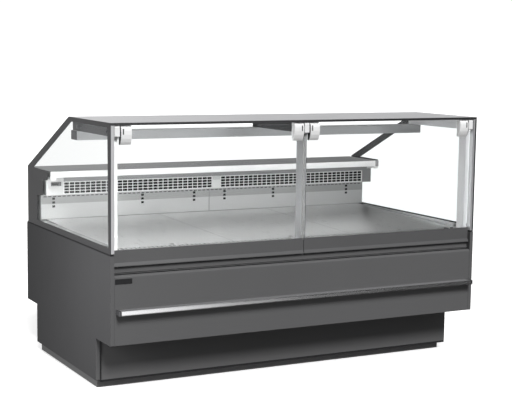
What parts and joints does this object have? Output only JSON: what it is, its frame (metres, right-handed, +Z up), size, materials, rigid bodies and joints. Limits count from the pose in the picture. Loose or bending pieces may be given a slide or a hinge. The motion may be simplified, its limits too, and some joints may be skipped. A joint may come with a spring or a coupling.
{
  "type": "refrigerated deli case",
  "caption": "Refrigerated serve-over deli case: stepped body, bumper rail, sloped glazed ends, lift-up front glass doors, flat canopy, rear worktop and cold-air grille.",
  "frame": {"origin": "on the floor, under the middle of the overall length and of the overall depth including the bumper", "axes": "+X along the case to the customer's right, +Y from the customer's side to the server's side, +Z up"},
  "size_m": [2.02, 1.272, 1.26],
  "materials": {
    "painted_dark_panel": "satin grey paint",
    "door_grip_profile": "satin grey paint",
    "bumper_metal": "brushed and anodised",
    "dark_end_cap": "fine grain",
    "badge_black": "plain, no lettering",
    "tub_white": "light grey coating",
    "deck_steel": "satin sheet",
    "back_wall_white": "white coating",
    "housing_white": "white coating",
    "grille_grey": "moulded lattice",
    "display_black": "dark window in a bezel",
    "worktop_grey": "light grey, satin",
    "post_metal": "anodised profile",
    "lamp_metal": "anodised profile",
    "lamp_cover": "opal cover",
    "canopy_grey": "light grey, satin",
    "clear_glass": "clear, polished edges",
    "frame_black": "dark glossy border",
    "bolt_steel": "turned head",
    "hinge_white": "moulded cover",
    "galvanised_sheet": "galvanised sheet",
    "black_plastic": "moulded",
    "compressor_black": "black enamel",
    "switch_red": "moulded rocker, no mark"
  },
  "bodies": {
    "case": {"base_frame": "painted_dark_panel", "plinth_front": "painted_dark_panel", "plinth_rear": "painted_dark_panel", "end_panel_left": "painted_dark_panel", "end_panel_right": "painted_dark_panel", "main_front_panel": "painted_dark_panel", "rear_panel": "painted_dark_panel", "front_channel": "painted_dark_panel", "bumper_rail": "bumper_metal", "bumper_cap_left": "dark_end_cap", "bumper_cap_right": "dark_end_cap", "tub_floor": "tub_white", "tub_front_wall": "tub_white", "tub_rear_wall": "tub_white", "tub_cheek_left": "tub_white", "tub_cheek_right": "tub_white", "deck_plate_left": "deck_steel", "deck_plate_middle": "deck_steel", "deck_plate_right": "deck_steel", "return_air_grille": "deck_steel", "back_wall_left": "back_wall_white", "back_wall_right": "back_wall_white", "grille_housing": "housing_white", "duct_floor": "housing_white", "air_grille_left": "grille_grey", "air_grille_right": "grille_grey", "worktop": "worktop_grey", "worktop_strip": "housing_white", "post_left": "post_metal", "post_middle": "post_metal", "post_right": "post_metal", "lamp_housing": "lamp_metal", "canopy": "canopy_grey", "side_glass_left": "clear_glass", "side_glass_right": "clear_glass", "side_frame_left": "frame_black", "side_frame_right": "frame_black", "side_bolt_front_left": "bolt_steel", "side_bolt_front_right": "bolt_steel", "side_bolt_rear_left": "bolt_steel", "side_bolt_rear_right": "bolt_steel", "hinge_cover_left": "hinge_white", "hinge_cover_middle": "hinge_white", "hinge_cover_right": "hinge_white", "evaporator_unit": "galvanised_sheet", "compressor": "compressor_black", "condenser_unit": "galvanised_sheet", "cable_gland": "black_plastic"},
    "door_left": {"front_glass_left": "clear_glass", "door_grip_left": "door_grip_profile", "hinge_clamp_1": "hinge_white", "hinge_clamp_2": "hinge_white"},
    "door_right": {"front_glass_right": "clear_glass", "door_grip_right": "door_grip_profile", "hinge_clamp_3": "hinge_white", "hinge_clamp_4": "hinge_white"},
    "fan_1": {"fan_rotor_1": "black_plastic"},
    "fan_2": {"fan_rotor_2": "black_plastic"},
    "condenser_fan": {"condenser_fan_rotor": "black_plastic"},
    "switch": {"power_switch": "switch_red"}
  },
  "joints": [
    {"name": "door_left_hinge", "type": "hinge", "parent": "case", "child": "door_left", "pos_m": [-0.487, -0.574, 1.225], "axis": [-1, 0, 0], "range_deg": [0, 80]},
    {"name": "door_right_hinge", "type": "hinge", "parent": "case", "child": "door_right", "pos_m": [0.487, -0.574, 1.225], "axis": [-1, 0, 0], "range_deg": [0, 80]},
    {"name": "fan_1_spin", "type": "hinge", "parent": "case", "child": "fan_1", "pos_m": [-0.48, 0.075, 0.632], "axis": [0, 1, 0], "continuous": true},
    {"name": "fan_2_spin", "type": "hinge", "parent": "case", "child": "fan_2", "pos_m": [0.48, 0.075, 0.632], "axis": [0, 1, 0], "continuous": true},
    {"name": "condenser_fan_spin", "type": "hinge", "parent": "case", "child": "condenser_fan", "pos_m": [-0.27, 0.34, 0.15], "axis": [0, 1, 0], "continuous": true},
    {"name": "switch_rock", "type": "hinge", "parent": "case", "child": "switch", "pos_m": [0.85, 0.63, 0.61], "axis": [1, 0, 0], "range_deg": [-7, 7]}
  ]
}
